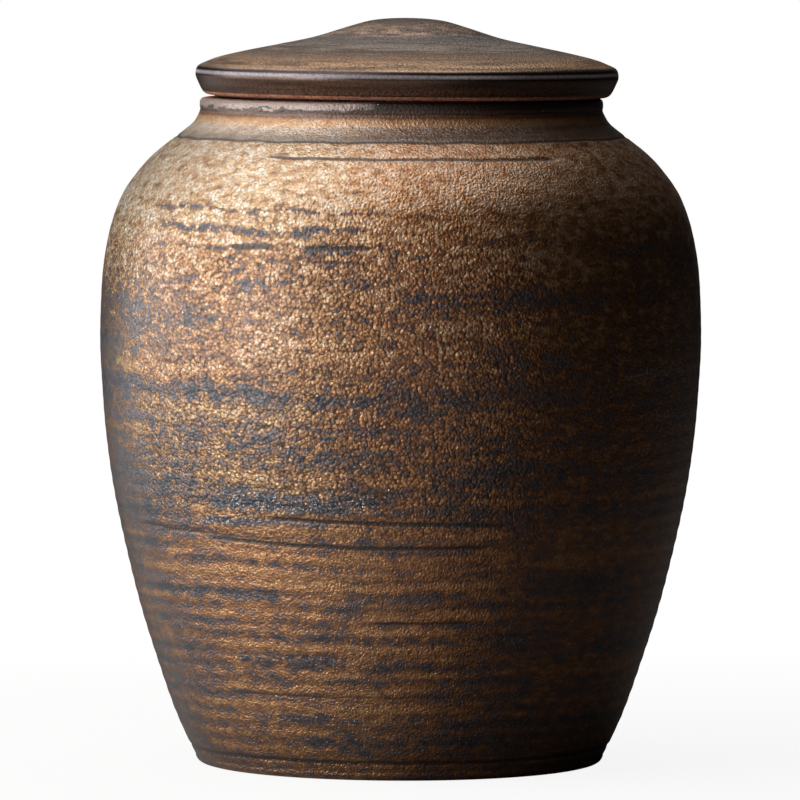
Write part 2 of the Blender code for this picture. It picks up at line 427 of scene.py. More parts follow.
@dataclass(frozen=True)
class ChestnutGlaze(Finish):
    """Satin chestnut-brown glaze on the lid, with tan and blue-grey rings.

    It broke tan where the wheel left ridges and stayed dark in between, so the eye sees
    soft rings round the crown with a fine tan speckle. The rings lie round the lid's own
    axis, which is given in metres, and the edge's bands go up the brim in millimetres. A
    spread gives two values and what they turn into.
    """

    title: ClassVar[str] = "satin_chestnut_glaze"
    grain: float = 0.6
    patch: float = 4.0
    relief: float = 0.25
    axis_x: float = 0.0
    radius: float = 0.05
    patch_noise: tuple[float, float] = (4.0, 0.6)
    ring_wave: float = 0.12
    smear_wave: float = 0.09
    painted_highlight_roughness: float = 0.2
    streak_values: Point = (-0.8, 0.8)
    speckle_spread: Window = (0, 1, 0.6, 0.9)
    metal_spread: Window = (0, 1, 0.85, 0.15)
    roughness_spread: Window = (0, 1, 0.30, 0.42)
    brim_heights: Point = (4.0, 8.0)
    top_shares: Point = (0.99, 0.975)
    edge_top_shares: Point = (0.74, 0.66)
    smeared_rings: str = "b2aaa4"
    smeared_bands: str = "c8c0ba"
    ring_stops: Stops = (
        (0.00, "786052"), (0.22, "7e6858"), (0.29, "cfaa8c"), (0.36, "a88f7c"), (0.42, "857a76"),
        (0.52, "a8998c"), (0.58, "b29c8a"), (0.66, "a48c78"), (0.76, "9a7f68"), (0.86, "cea27c"),
        (0.93, "c89e78"), (1.00, "a08064"),
    )
    grain_stops: Stops = ((0.28, "828282"), (0.40, "b8b8b8"), (0.62, WHITE))
    # The pale stops from 0.31 to 0.45 paint a highlight on the rounded edge.
    band_stops: Stops = (
        (0.00, "6e5242"), (0.12, "6e5242"), (0.22, "3a2c26"), (0.31, "8c8286"), (0.36, "b4aab0"),
        (0.45, "aea4aa"), (0.52, "5e5250"), (0.57, "40373a"), (0.66, "483e3f"), (0.74, "94765c"),
        (1.00, "94765c"),
    )
    painted_highlight_stops: Stops = ((0.22, BLACK), (0.33, WHITE), (0.46, WHITE), (0.55, BLACK), (1.00, BLACK))

    def nodes(self, add: partial, place: Socket) -> dict:
        """Add the glaze's nodes, which read smear and brim on the lid, and say what the shader gets.

        Args:
            add: The function that adds a node.
            place: The place on the lid.

        Returns:
            What each input of the shader gets.
        """
        share = 1 / self.radius
        centred = add(Kind.STRETCH, place, (share, share, 0), (-self.axis_x * share, 0, 0))
        out = add(Kind.LENGTH, centred)
        grain = add(Kind.NOISE, place, per_metre(self.grain), *FINE_NOISE)
        patch = add(Kind.NOISE, place, per_metre(self.patch), *self.patch_noise)
        smear = add(Kind.MARK, attribute_name="smear")
        wavy = add(Kind.TIMES_PLUS, add(Kind.MINUS, patch, 0.5), self.ring_wave, out)
        ringed = add(Kind.TIMES_PLUS, smear, self.smear_wave, wavy)
        on_top = add(Kind.SPREAD, out, *self.top_shares)
        streaky = add(Kind.SPREAD, smear, *self.streak_values)
        smeared = add(Kind.TINT, streaky, add(Kind.RAMP, ringed, stops=self.ring_stops), self.smeared_rings)

        # The edge is pale under a dark line and lies dark on the side. The pale band on the rounded edge is
        # painted highlight, standing in for the light caught there.
        up = add(Kind.SPREAD, add(Kind.MARK, attribute_name="brim"), *self.brim_heights)
        below = add(Kind.SPREAD, up, *self.edge_top_shares)
        streaked = add(Kind.TINT, streaky, add(Kind.RAMP, up, stops=self.band_stops), self.smeared_bands)
        edged = add(Kind.BLEND, below, smeared, streaked)
        speckle = add(Kind.SPREAD, on_top, *self.speckle_spread)
        # Where the painted highlight lies, the glaze is rougher and less metallic.
        pale = add(Kind.RAMP, up, stops=self.painted_highlight_stops)
        plain_roughness = add(Kind.SPREAD, on_top, *self.roughness_spread)
        return {
            "Base Color": add(Kind.TINT, speckle, edged, add(Kind.RAMP, grain, stops=self.grain_stops)),
            "Metallic": add(Kind.SPREAD, pale, *self.metal_spread),
            "Roughness": add(Kind.TIMES_PLUS, pale, self.painted_highlight_roughness, plain_roughness),
            "Coat Weight": 0.15,
            "Coat Roughness": 0.35,
            "Normal": add(Kind.BUMP, grain, self.relief * MILLIMETRE, on_top),
        }


@dataclass(frozen=True)
class DarkLinerGlaze(Finish):
    """Glossy dark brown liner glaze inside the jar.

    It is smooth enough to hold tea and to wipe clean, so the eye sees a deep brown with
    soft highlights and faint rings from the wheel.
    """

    title: ClassVar[str] = "dark_brown_liner_glaze"
    ring_length: float = 60.0
    ring_height: float = 2.2
    relief: float = 0.05
    colours: Stops = ((0.3, "20140f"), (0.7, "4a2f21"))

    def nodes(self, add: partial, place: Socket) -> dict:
        """Add the glaze's nodes and say what the shader gets.

        Args:
            add: The function that adds a node.
            place: The place on the piece.

        Returns:
            What each input of the shader gets.
        """
        along = per_metre(self.ring_length)
        stretched = add(Kind.STRETCH, place, (along, along, per_metre(self.ring_height)))
        rings = add(Kind.NOISE, stretched, 1.0, *SOFT_NOISE)
        return {
            "Base Color": add(Kind.RAMP, rings, stops=self.colours),
            "Roughness": 0.28,
            "Coat Weight": 0.3,
            "Normal": add(Kind.BUMP, rings, self.relief * MILLIMETRE, 1.0),
        }


@dataclass(frozen=True)
class BareStoneware(Finish):
    """Unglazed fired stoneware, on the foot ring, the plug and the lid's lower edge.

    The iron in the clay fired it to terracotta, so the eye sees a dry red-brown with a
    sandy speckle.
    """

    title: ClassVar[str] = "bare_fired_stoneware"
    sand: float = 0.6
    patch: float = 6.0
    relief: float = 0.05
    patch_share: float = 0.5
    sand_noise: tuple[float] = (2.0,)
    colours: Stops = ((0.45, "6a3826"), (0.75, "a0654a"), (1.0, "d09a7c"))

    def nodes(self, add: partial, place: Socket) -> dict:
        """Add the clay's nodes and say what the shader gets.

        Args:
            add: The function that adds a node.
            place: The place on the piece.

        Returns:
            What each input of the shader gets.
        """
        sand = add(Kind.NOISE, place, per_metre(self.sand), *self.sand_noise)
        patch = add(Kind.NOISE, place, per_metre(self.patch), *SOFT_NOISE)
        mixed = add(Kind.TIMES_PLUS, patch, self.patch_share, sand)
        return {
            "Base Color": add(Kind.RAMP, mixed, stops=self.colours),
            "Roughness": 0.82,
            "Normal": add(Kind.BUMP, sand, self.relief * MILLIMETRE, 1.0),
        }


@dataclass(frozen=True)
class SiliconeRubber(Finish):
    """Moulded dark silicone rubber, matt and slightly dusty."""

    title: ClassVar[str] = "moulded_silicone_rubber"
    dust: float = 1.5
    relief: float = 0.01
    dust_noise: tuple[float] = (4.0,)
    roughness_spread: Window = (0, 1, 0.45, 0.7)
    colours: Stops = ((0.35, "161412"), (0.75, "2c2826"))

    def nodes(self, add: partial, place: Socket) -> dict:
        """Add the rubber's nodes and say what the shader gets.

        Args:
            add: The function that adds a node.
            place: The place on the piece.

        Returns:
            What each input of the shader gets.
        """
        dust = add(Kind.NOISE, place, per_metre(self.dust), *self.dust_noise)
        return {
            "Base Color": add(Kind.RAMP, dust, stops=self.colours),
            "Roughness": add(Kind.SPREAD, dust, *self.roughness_spread),
            "Normal": add(Kind.BUMP, dust, self.relief * MILLIMETRE, 1.0),
        }


@dataclass(frozen=True)
class PaperFloor:
    """White paper sweep under the caddy: matt, and white wherever it isn't in shadow.

    Its strengths and distances hold for rays that see it as a background. To glossy rays it also glows
    on the front left alone, a painted reflection of lamp light on the paper, which the caddy's glaze mirrors.
    """

    near_strength: float = 0.90
    far_strength: float = 1.0
    painted_reflection_strength: float = 0.40
    painted_reflection_way: tuple[float, float, float] = (-0.87, -0.50, 0.0)
    painted_reflection_start: float = 0.02
    painted_reflection_end: float = 0.09
    near: float = 0.12
    far: float = 0.55
    paper: str = "4c4b4a"

    def material(self) -> bpy.types.Material:
        """Make the paper, which can be seen through from below.

        Returns:
            The material.
        """
        material = bpy.data.materials.new("white_paper_sweep")
        material.use_nodes = True
        tree = material.node_tree
        tree.nodes.remove(tree.nodes["Principled BSDF"])
        add = partial(add_node, tree)
        place = add(Kind.PLACE)
        distance = add(Kind.LENGTH, place)
        sideways = add(Kind.REACH, place, self.painted_reflection_way)
        # Painted reflection: the paper glows to glossy rays on the front left only, in place of lamp light on
        # it.
        painted_reflection = add(Kind.SPREAD, sideways, self.painted_reflection_start, self.painted_reflection_end, 0, self.painted_reflection_strength)
        strength = add(Kind.EASED, distance, self.near, self.far, self.near_strength, self.far_strength)
        seen = add(Kind.LARGER, add(Kind.RAY), add(Kind.RAY, output="Is Transmission Ray"))
        shown = add(Kind.TIMES_PLUS, add(Kind.RAY, output="Is Glossy Ray"), painted_reflection, seen)
        glow = add(Kind.GLOW, WHITE, add(Kind.TIMES, strength, shown))
        lit = add(Kind.JOIN, add(Kind.MATT, self.paper), glow)
        surface = add(Kind.CHOICE, add(Kind.SURFACE), lit, add(Kind.CLEAR))
        tree.links.new(surface, tree.nodes["Material Output"].inputs["Surface"])
        return material


class Zone(Enum):
    """Which finish a length of an outline has."""

    OUTER_GLAZE = 0
    INNER_GLAZE = 1
    BARE_CLAY = 2


@dataclass(frozen=True)
class Stretch:
    """One smooth length of an outline, with its finish and the distance between its rows."""

    points: list[Point]
    zone: Zone
    spacing: float


@dataclass
class Turned:
    """The vertices of a turned mesh as arrays, for moves and marks.

    Places and outward directions are in metres, angles in degrees and heights in
    millimetres, and rows are the numbers of the outline's points.
    """

    places: np.ndarray
    rows: np.ndarray
    angles: np.ndarray
    heights: np.ndarray
    outward: np.ndarray
    outside: np.ndarray


def read_curve(table: Table, at: float) -> float:
    """Read a smooth curve through rising (place, value) pairs.

    Args:
        table: The pairs, in rising order of place.
        at: The place to read.

    Returns:
        The curve's value there.
    """

    def slope(index: int) -> float:
        """Give the curve's slope at one pair."""
        before = table[max(index - 1, 0)]
        after = table[min(index + 1, len(table) - 1)]
        return (after[1] - before[1]) / (after[0] - before[0])

    span = 0
    while span < len(table) - 2 and at > table[span + 1][0]:
        span += 1
    low_place, low_value = table[span]
    high_place, high_value = table[span + 1]
    length = high_place - low_place
    t = (at - low_place) / length
    from_low = (2 * t**3 - 3 * t**2 + 1) * low_value + (t**3 - 2 * t**2 + t) * length * slope(span)
    from_high = (3 * t**2 - 2 * t**3) * high_value + (t**3 - t**2) * length * slope(span + 1)
    return from_low + from_high


def arc(centre: Point, radius: float, start: float, end: float) -> list[Point]:
    """Give the points of an arc in an outline's plane.

    Args:
        centre: The arc's centre, as radius and height.
        radius: The arc's own radius.
        start: Where it starts, in degrees from straight out.
        end: Where it ends.

    Returns:
        Points as (radius, height) pairs.
    """
    turns = np.radians(np.linspace(start, end, ARC_POINTS))
    return [(centre[0] + radius * math.cos(turn), centre[1] + radius * math.sin(turn)) for turn in turns]


def even_rows(stretches: list[Stretch]) -> tuple[np.ndarray, np.ndarray]:
    """Walk along an outline and set down its rows evenly.

    Args:
        stretches: The outline's stretches in order, each starting where the last one ended.

    Returns:
        The rows' (radius, height) places, and the number of the zone that follows each row.
    """
    places = []
    zones = []
    for stretch in stretches:
        points = np.array(stretch.points)
        steps = np.hypot(*np.diff(points, axis=0).T)
        along = np.concatenate(([0], np.cumsum(steps)))
        count = max(1, round(along[-1] / stretch.spacing))
        for at in np.linspace(0, along[-1], count + 1)[:-1]:
            places.append((np.interp(at, along, points[:, 0]), np.interp(at, along, points[:, 1])))
            zones.append(stretch.zone.value)
    places.append(stretches[-1].points[-1])
    zones.append(stretches[-1].zone.value)
    return np.array(places), np.array(zones)


def ease(share: np.ndarray) -> np.ndarray:
    """Ease a share from 0 to 1, flat at both ends."""
    held = np.clip(share, 0, 1)
    return held * held * (3 - 2 * held)


def between(places: np.ndarray, window: Window) -> np.ndarray:
    """Give 1 inside a window and 0 outside it, eased at both ends.

    Args:
        places: Heights or angles.
        window: Where it starts, over how much it rises, where it ends and over how much it fell by then.

    Returns:
        Values from 0 to 1.
    """
    start, rise, end, fall = window
    return ease((places - start) / rise) * ease((end - places) / fall)


def follow(places: np.ndarray, curve: Table) -> np.ndarray:
    """Read straight lengths between (place, value) pairs, level before and after them."""
    return np.interp(places, *zip(*curve))


def wander(angles: np.ndarray, seed: int, waves: int) -> np.ndarray:
    """Give a smooth random drift that closes on itself round the piece.

    Args:
        angles: Where to read it, in degrees.
        seed: The seed of its random draws.
        waves: How many waves it may have in one turn.

    Returns:
        Values mostly between -1 and 1.
    """
    draw = np.random.default_rng(seed)
    total = np.zeros_like(angles)
    reach = 0.0
    for wave in range(1, waves + 1):
        strength = draw.uniform(*WAVE_STRENGTHS)
        total += strength * np.cos(np.radians(angles) * wave + draw.uniform(0, math.tau))
        reach += strength * strength
    return total / math.sqrt(reach)


def patches(heights: np.ndarray, angles: np.ndarray, seed: int, tall: float, count: int) -> np.ndarray:
    """Give smooth random patches over the surface.

    Args:
        heights: Where to read them, in millimetres.
        angles: Where to read them, in degrees.
        seed: The seed of the random draws.
        tall: The height of one patch, in millimetres.
        count: How many patches lie round the piece.

    Returns:
        Values from -1 to 1.
    """
    draw = np.random.default_rng(seed)
    up = np.clip(heights, 0, None) / tall
    over = (angles % FULL_TURN) / FULL_TURN * count
    low = np.floor(up).astype(int)
    left = np.floor(over).astype(int) % count
    right = (left + 1) % count
    grid = draw.uniform(-1, 1, (int(low.max()) + 2, count))
    rise = ease(up - low)
    turn = ease(over - np.floor(over))
    below = grid[low, left] * (1 - turn) + grid[low, right] * turn
    above = grid[low + 1, left] * (1 - turn) + grid[low + 1, right] * turn
    return below * (1 - rise) + above * rise


@dataclass
class TurnedPiece:
    """A piece turned about an upright axis, which takes the place of one node.

    The fields are the piece's name, its node, body and material slot, where its axis
    stands and how many columns it has round it.
    """

    name: str
    node: str
    body: str
    slot: str
    axis_x: float = 0.0
    columns: int = 160

    def outline(self) -> list[Stretch]:
        """Give the piece's outline, which each kind of piece draws for itself."""
        raise NotImplementedError

    def sculpt(self, surface: Turned) -> np.ndarray:
        """Give each vertex's new place, which is the old one unless a piece says more."""
        return surface.places

    def finishes(self) -> tuple[Finish, ...]:
        """Give the finishes of the zones in their order, which each kind of piece has for itself."""
        raise NotImplementedError

    def readings(self, surface: Turned) -> dict[str, np.ndarray]:
        """Give the values at the vertices that the finishes read by name, where they read any."""
        return {}

    def dress(self, piece: bpy.types.Object, surface: Turned) -> None:
        """Give the piece its finishes and write down what they read.

        Args:
            piece: The piece.
            surface: Its vertices.
        """
        for finish in self.finishes():
            piece.data.materials.append(finish.material())
        for name, values in self.readings(surface).items():
            attribute = piece.data.attributes.new(name, "FLOAT", "POINT")
            attribute.data.foreach_set("value", values.astype(np.float32))

    def draw_profile(self, rows: np.ndarray) -> bpy.types.Object:
        """Start from a small plane, merge it to a point and extrude that along the outline.

        Args:
            rows: The outline's (radius, height) places.

        Returns:
            The profile, as an object of edges at the origin.
        """
        bpy.ops.object.select_all(action="DESELECT")
        bpy.ops.mesh.primitive_plane_add(size=MILLIMETRE)
        profile = bpy.context.object
        profile.name = self.name
        profile.data.name = self.name
        bpy.ops.object.mode_set(mode="EDIT")
        bpy.ops.mesh.select_all(action="SELECT")
        bpy.ops.mesh.merge(type="CENTER")
        bpy.ops.transform.translate(value=(self.axis_x + rows[0][0], 0, rows[0][1]))
        for step in np.diff(rows, axis=0):
            bpy.ops.mesh.extrude_region_move(TRANSFORM_OT_translate={"value": (step[0], 0, step[1])})
        bpy.ops.object.mode_set(mode="OBJECT")
        return profile

    def number_rows(self, profile: bpy.types.Object, rows: np.ndarray) -> None:
        """Write each profile vertex's row number on it, which the spin copies all round.

        Args:
            profile: The profile object.
            rows: The outline's (radius, height) places.
        """
        finder = KDTree(len(rows))
        for index, (radius, height) in enumerate(rows):
            finder.insert((self.axis_x + radius, 0, height), index)
        finder.balance()
        numbers = [finder.find(vertex.co)[1] for vertex in profile.data.vertices]
        label = profile.data.attributes.new(ROW_LABEL, "INT", "POINT")
        label.data.foreach_set("value", numbers)

    def spin(self) -> None:
        """Spin the profile once round the piece's axis and close its seam and poles."""
        centre = (self.axis_x, 0, 0)
        bpy.ops.object.mode_set(mode="EDIT")
        bpy.ops.mesh.select_all(action="SELECT")
        bpy.ops.mesh.spin(steps=self.columns, angle=math.tau, center=centre, axis=(0, 0, 1))
        bpy.ops.mesh.select_all(action="SELECT")
        bpy.ops.mesh.remove_doubles(threshold=MERGE_DISTANCE)
        bpy.ops.mesh.normals_make_consistent(inside=False)
        bpy.ops.object.mode_set(mode="OBJECT")

    def survey(self, mesh: bpy.types.Mesh, rows: np.ndarray, zones: np.ndarray) -> Turned:
        """Read the turned mesh into arrays.

        Args:
            mesh: The turned piece's mesh.
            rows: The outline's (radius, height) places.
            zones: The zone that follows each row.

        Returns:
            The vertices' places, rows, angles, heights, outward directions and zones.
        """
        places = np.empty(len(mesh.vertices) * 3)
        mesh.vertices.foreach_get("co", places)
        places = places.reshape(-1, 3)
        numbers = np.empty(len(places), dtype=np.int32)
        mesh.attributes[ROW_LABEL].data.foreach_get("value", numbers)
        mesh.attributes.remove(mesh.attributes[ROW_LABEL])
        along = np.gradient(rows, axis=0)
        along /= np.hypot(along[:, 0], along[:, 1])[:, None]
        turn = np.arctan2(places[:, 0] - self.axis_x, -places[:, 1])
        out = -along[numbers, 1]
        outward = np.stack((out * np.sin(turn), -out * np.cos(turn), along[numbers, 0]), axis=1)
        outside = zones[numbers] == Zone.OUTER_GLAZE.value
        return Turned(places, numbers, np.degrees(turn), places[:, 2] / MILLIMETRE, outward, outside)

    def share_zones(self, mesh: bpy.types.Mesh, surface: Turned, zones: np.ndarray) -> None:
        """Give each face the material number of its zone.

        Args:
            mesh: The turned piece's mesh.
            surface: Its vertices.
            zones: The zone that follows each row.
        """
        corners = np.empty(len(mesh.loops), dtype=np.int32)
        mesh.loops.foreach_get("vertex_index", corners)
        starts = np.empty(len(mesh.polygons), dtype=np.int32)
        mesh.polygons.foreach_get("loop_start", starts)
        lowest = np.minimum.reduceat(surface.rows[corners], starts)
        mesh.polygons.foreach_set("material_index", zones[lowest].astype(np.int32))

    def build(self) -> bpy.types.Object:
        """Returns:
            The finished piece.
        """
        rows, zones = even_rows(self.outline())
        piece = self.draw_profile(rows)
        self.number_rows(piece, rows)
        self.spin()
        surface = self.survey(piece.data, rows, zones)
        self.dress(piece, surface)
        piece.data.vertices.foreach_set("co", self.sculpt(surface).ravel())
        self.share_zones(piece.data, surface, zones)
        bpy.ops.object.shade_smooth_by_angle(angle=SHARP_ANGLE)
        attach(piece, self.body)
        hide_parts(self.node)
        faces = len(piece.data.polygons)
        log.info("%s: %d rows, %d columns, %d faces", self.name, len(rows), self.columns, faces)
        return piece


class MarkKind(Enum):
    """What a mark in the glaze is."""

    SLATE = "slate"
    FILM = "film"
    GOLD = "gold"
    LINE = "line"
    FROST_GLINTS = "frost"


@dataclass(frozen=True)
class Mark:
    """One mark that the wheel and the kiln left round the jar.

    Heights and widths are millimetres and angles are degrees. The mark drops by fall from
    its start to its end.
    """

    kind: MarkKind
    height: float
    start: float
    end: float
    half_width: float
    strength: float = 1.0
    fall: float = 0.0
    tip_length: float = 3.0
    drift: float = 0.3
    line_drift: float = 0.12
    drift_waves: int = 36

    def weight(self, surface: Turned) -> np.ndarray:
        """Give the mark's strength at each vertex.

        Args:
            surface: The vertices of the jar.

        Returns:
            The strength in the mark's middle, half of it at its edge, and 0 well outside.
        """
        length = self.end - self.start
        tip = min(self.tip_length, length / 3)
        past = (surface.angles - self.start + tip) % FULL_TURN - tip
        seed = int(abs(self.height * 10 + self.start))
        turns = np.arange(-FULL_TURN / 2, FULL_TURN / 2 + 1)
        reach = self.line_drift if self.kind == MarkKind.LINE else self.drift
        drift = reach * np.interp(surface.angles, turns, wander(turns, seed, self.drift_waves))
        centre = self.height - self.fall * past / length + drift
        ends = np.ones_like(past)
        if length < FULL_TURN:
            ends = between(past, (-tip / 2, tip, length + tip / 2, tip))
        across = np.abs(surface.heights - centre) / self.half_width
        return self.strength * ends * np.clip(1 - across / 2, 0, 1)


def placed_marks() -> list[Mark]:
    """Give the marks on the front, with the lines that go all the way round.

    Returns:
        The marks of each kind from the foot up. A row gives the height, start, end and half
        width, and where they aren't 1 and 0 the strength and the fall.
    """
    placed = {
        MarkKind.SLATE: (
            (9.2, -6, 40, 1.2, 0.9), (9.3, -24, -6, 1.3, 1.4), (14.7, -30, 60, 1.0, 0.9),
            (24.6, -34, 12, 0.7, 0.9), (28.4, -11, 14, 1.1, 0.8), (28.8, -39, -11, 1.4, 1.5),
            (34.5, -8, 30, 1.0), (34.9, -34, -8, 1.1, 0.9), (43.8, -16, 8, 1.0, 0.7), (44.3, -63, -49, 1.3),
            (44.6, -41, -24, 1.3, 1.4), (51.1, -26, 2, 0.5, 0.8), (53.0, -48, -20, 0.7, 0.9, 0.5),
            (62.1, -43, -28, 1.0, 1.5), (66.0, -4, 21, 0.9, 1.2), (67.1, -39, -4, 1.5, 1.8, 0.3),
            (69.4, -36, 8, 1.3, 0.6), (74.9, 4, 36, 1.3, 0.9), (76.9, -21, 1, 2.0, 0.9),
            (80.9, -36, -19, 2.0, 0.7), (84.4, -36, 11, 0.6, 0.9), (91.3, -26, 11, 1.6, 0.7, 0.8),
            (92.7, -82, -54, 2.0, 0.7), (92.7, -35, -27, 2.0, 0.8), (93.3, -49, -34, 2.3, 0.75, 0.3),
            (109.0, -66, -49, 2.6, 0.9), (109.6, -46, -37, 1.8, 0.9), (115.4, -4, 36, 1.2, 1.1, 0.6),
            (118.9, -51, -39, 1.1, 0.9), (118.9, -14, -3, 1.2, 1.1), (119.0, -31, -19, 1.2, 1.1),
            (123.7, -36, -4, 1.8, 0.55), (126.1, 2, 8, 0.45), (126.3, -20, -8, 0.62, 1.8),
            (126.5, -4, -1, 1.72, 0.9), (126.9, -57, -50, 0.47, 1.3), (127.0, -48, -36, 0.47, 1.2, 0.8),
            (127.7, 8, 34, 0.78, 0.6), (130.3, -23, -18, 0.7, 1.7), (130.7, -30, -22, 0.47, 1.6, 0.6),
            (130.8, -5, 6, 0.47, 0.9), (130.9, -36, -29, 0.62, 1.7), (131.2, -49, -37, 0.58, 1.7, 0.5),
            (131.2, -19, -5, 0.58, 1.8), (131.6, -55, -46, 0.47, 1.4), (134.8, 2, 11, 0.47, 1.1),
            (135.2, -19, -12, 0.45, 1.2), (135.3, -37, -27, 0.55, 1.3), (135.5, -42, -38, 0.47, 1.5),
            (135.6, -13, -3, 0.45, 1.4), (135.7, -26, -19, 0.45, 1.4), (135.8, -59, -43, 0.47, 1.5),
            (139.4, -21.5, -18.5, 0.45), (140.1, -9.5, -7, 0.45, 0.9), (140.5, -41.5, -39, 0.45),
            (140.5, -26, -23, 0.45), (147.0, -47, -44, 0.45, 0.9),
        ),
        MarkKind.FILM: (
            (12.7, 15, 80, 3.0, 0.8), (22.0, 3, 32, 3.2, 0.8), (33.0, 20, 75, 2.4, 0.7),
            (45.0, -12, 13, 3.4, 0.7), (45.2, -70, -37, 1.3, 0.7), (47.0, 22, 60, 2.6),
            (62.0, -82, -58, 2.2, 0.8), (63.6, 8, 80, 2.1, 1.3), (73.0, 13, 58, 1.7),
            (81.6, 15, 75, 1.5, 0.9), (84.0, -46, -30, 1.3, 0.9), (84.6, -77, -60, 1.3, 0.8),
            (90.8, -3, 58, 2.3), (92.0, -54, -25, 1.6, 0.9), (95.6, -82, -59, 1.6, 0.9),
            (103.0, -86, -59, 1.5, 0.9), (111.2, -46, -39, 1.2, 0.8), (112.1, -2, 24, 1.6, 0.8),
            (113.0, -79, -58, 1.4, 0.8), (115.0, 18, 60, 1.9, 1.1), (126.6, 38, 75, 2.4),
            (129.0, 10, 44, 1.0), (134.0, -2, 30, 1.2, 0.8),
        ),
        MarkKind.GOLD: (
            (6.8, -60, -17, 0.9), (10.4, -69, -38, 0.7, 0.9), (11.9, -42, -18, 0.8),
            (14.9, -66, -38, 0.6, 0.9, 1.2), (17.4, -36, 20, 1.2, 1.1), (19.4, -68, -35, 0.8, 0.9, 1.9),
            (22.9, -3, 14, 0.8, 1.1), (23.1, -26, -11, 0.8), (24.1, -46, -37, 0.7),
            (26.1, -3, 12, 0.8, 1.1), (26.2, -23, -10, 0.7), (27.4, -43, -36, 0.7), (31.8, -46, 20, 1.1),
            (33.6, -70, -46, 0.8, 0.9), (36.7, -10, 11, 0.8, 1.5, 0.4), (40.3, -8, 21, 1.0, 1.5),
            (41.8, -43, -29, 1.3), (42.8, -80, -48, 0.7, 0.9), (47.6, -25, 26, 1.3, 1.1),
            (50.0, -70, -20, 1.8, 1.3, 0.5), (54.1, -56, 40, 0.8, 0.9, 0.8),
            (56.9, -58, -36, 0.6, 1.2, 0.8), (60.4, -38, 22, 0.7, 1.0, 0.6), (64.6, -47, -24, 0.7, 0.9),
            (72.4, -6, 6, 0.9, 1.2), (72.9, -43, -24, 1.2, 1.2), (72.9, -21, -11, 0.9, 1.1),
            (83.3, -82, -58, 0.9, 0.9), (87.4, 12, 30, 2.0, 0.7), (88.9, -56, -28, 2.2, 0.9),
            (97.7, -71, -34, 1.2, 1.3), (103.0, -32, 12, 3.0, 0.6), (109.0, 8, 28, 2.4, 0.7),
        ),
        MarkKind.LINE: (
            (4.4, 0, FULL_TURN, 0.5, 0.9), (20.5, -42, 12, 0.35, 0.6), (38.6, -6, 16, 0.5, 0.7),
            (56.6, -9, 18, 0.4, 1.0, -0.1), (57.8, -41, -8, 0.45, 1.0, 1.3),
            (59.8, -66, -22, 0.35, 0.7, 1.6), (63.1, -26, 21, 0.45, 1.0, 1.2), (123.8, -18, -5, 0.4, 0.7),
            (127.0, -19, -5, 0.45, 1.1), (127.3, -34, -25, 0.55, 1.3), (147.7, -32, 38, 0.28, 1.0, 0.3),
            (151.4, 0, FULL_TURN, 0.28, 0.8), (157.8, 0, FULL_TURN, 0.35, 0.7),
        ),
        MarkKind.FROST_GLINTS: (
            (62.1, -43, -28, 1.0, 0.8), (67.2, -39, -4, 1.4, 1.0, 0.3), (154.2, -25, 45, 1.1, 0.9),
        ),
    }
    return [Mark(kind, *places) for kind, marks in placed.items() for places in marks]


@dataclass(frozen=True)
class BackRule:
    """A seeded rule for marks on the side that the photograph doesn't show.

    Heights and widths are millimetres and angles are degrees. Pairs are the limits of a draw.
    """

    seed: int = 41
    kinds: tuple[MarkKind, ...] = (
        MarkKind.SLATE, MarkKind.SLATE, MarkKind.GOLD, MarkKind.GOLD, MarkKind.LINE, MarkKind.FROST_GLINTS,
    )
    first_height: float = 6.0
    top_height: float = 140.0
    starts: tuple[float, ...] = (60, 130, 200)
    shifts: Point = (-15, 25)
    lengths: Point = (15, 75)
    half_widths: Point = (0.7, 1.7)
    line_half_widths: Point = (0.3, 0.5)
    line_limits: Point = (110, 250)
    line_length: float = 15.0
    lifts: Point = (-1.2, 1.2)
    strengths: Point = (0.7, 1.4)
    falls: Point = (-0.4, 0.8)
    steps: Point = (2.6, 5.2)

    def marks(self) -> list[Mark]:
        """Draw the marks.

        Returns:
            The marks, from the foot up.
        """
        draw = np.random.default_rng(self.seed)
        marks = []
        height = self.first_height
        while height < self.top_height:
            for start in self.starts:
                kind = self.kinds[draw.integers(len(self.kinds))]
                begin = start + draw.uniform(*self.shifts)
                end = begin + draw.uniform(*self.lengths)
                half_width = draw.uniform(*self.half_widths)
                if kind == MarkKind.LINE:
                    # A groove across the silhouette would look like a notch
                    begin = max(begin, self.line_limits[0])
                    end = min(max(end, begin + self.line_length), self.line_limits[1])
                    half_width = draw.uniform(*self.line_half_widths)
                level = height + draw.uniform(*self.lifts)
                strength = draw.uniform(*self.strengths)
                fall = draw.uniform(*self.falls)
                marks.append(Mark(kind, level, begin, end, half_width, strength, fall))
            height += draw.uniform(*self.steps)
        return marks


